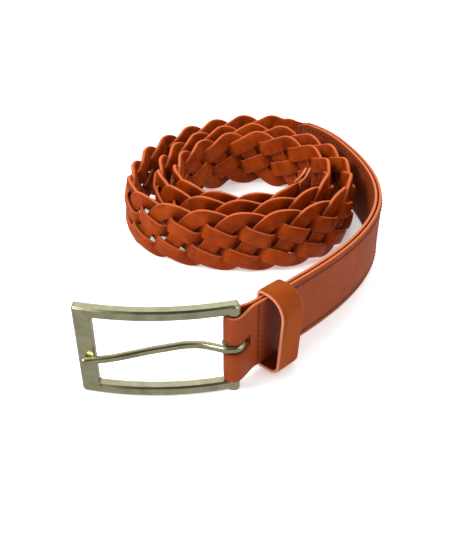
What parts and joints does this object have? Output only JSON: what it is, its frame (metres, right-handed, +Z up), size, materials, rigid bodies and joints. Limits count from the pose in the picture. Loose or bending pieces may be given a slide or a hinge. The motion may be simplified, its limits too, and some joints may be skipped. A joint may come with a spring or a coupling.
{
  "type": "leather belt",
  "caption": "Braided leather belt rolled into a coil, with a plain stitched end, a keeper loop and an antique metal buckle with a hinged prong.",
  "frame": {"origin": "middle of the bounding box of the rolled belt, on the surface it stands on", "axes": "+Z up along the belt's width; -Y towards the side where the buckle lies across the front; +X from the buckle towards the strap's stitched end"},
  "size_m": [0.1501, 0.232, 0.0464],
  "materials": {
    "antique_metal": "antique brushed",
    "bar_metal": "plain",
    "prong_metal": "antique satin",
    "staple_metal": "plain",
    "strap_leather": "smooth semi-gloss",
    "lining_leather": "matte",
    "keeper_leather": "smooth semi-gloss",
    "braid_leather": "glossy",
    "thread": "waxed"
  },
  "bodies": {
    "belt": {"strap_outer": "strap_leather", "strap_lining": "lining_leather", "keeper": "keeper_leather", "keeper_staple": "staple_metal", "fold_stitching": "thread", "upper_edge_stitching": "thread", "lower_edge_stitching": "thread", "root_seam_stitching": "thread", "strand_1": "braid_leather", "strand_2": "braid_leather", "strand_3": "braid_leather", "strand_4": "braid_leather", "strand_5": "braid_leather", "tip_outer": "strap_leather", "tip_lining": "lining_leather", "tip_seam_stitching": "thread", "tip_edge_stitching": "thread"},
    "buckle": {"buckle_frame": "antique_metal", "heel_bar": "bar_metal"},
    "prong": {"prong": "prong_metal"}
  },
  "joints": [
    {"name": "buckle_hinge", "type": "hinge", "parent": "belt", "child": "buckle", "pos_m": [-0.00807, -0.10854, 0.0232], "axis": [0, 0, 1], "range_deg": [-70, 75]},
    {"name": "prong_hinge", "type": "hinge", "parent": "buckle", "child": "prong", "pos_m": [-0.00807, -0.10854, 0.0232], "axis": [0, 0, 1], "range_deg": [0, 88]}
  ]
}
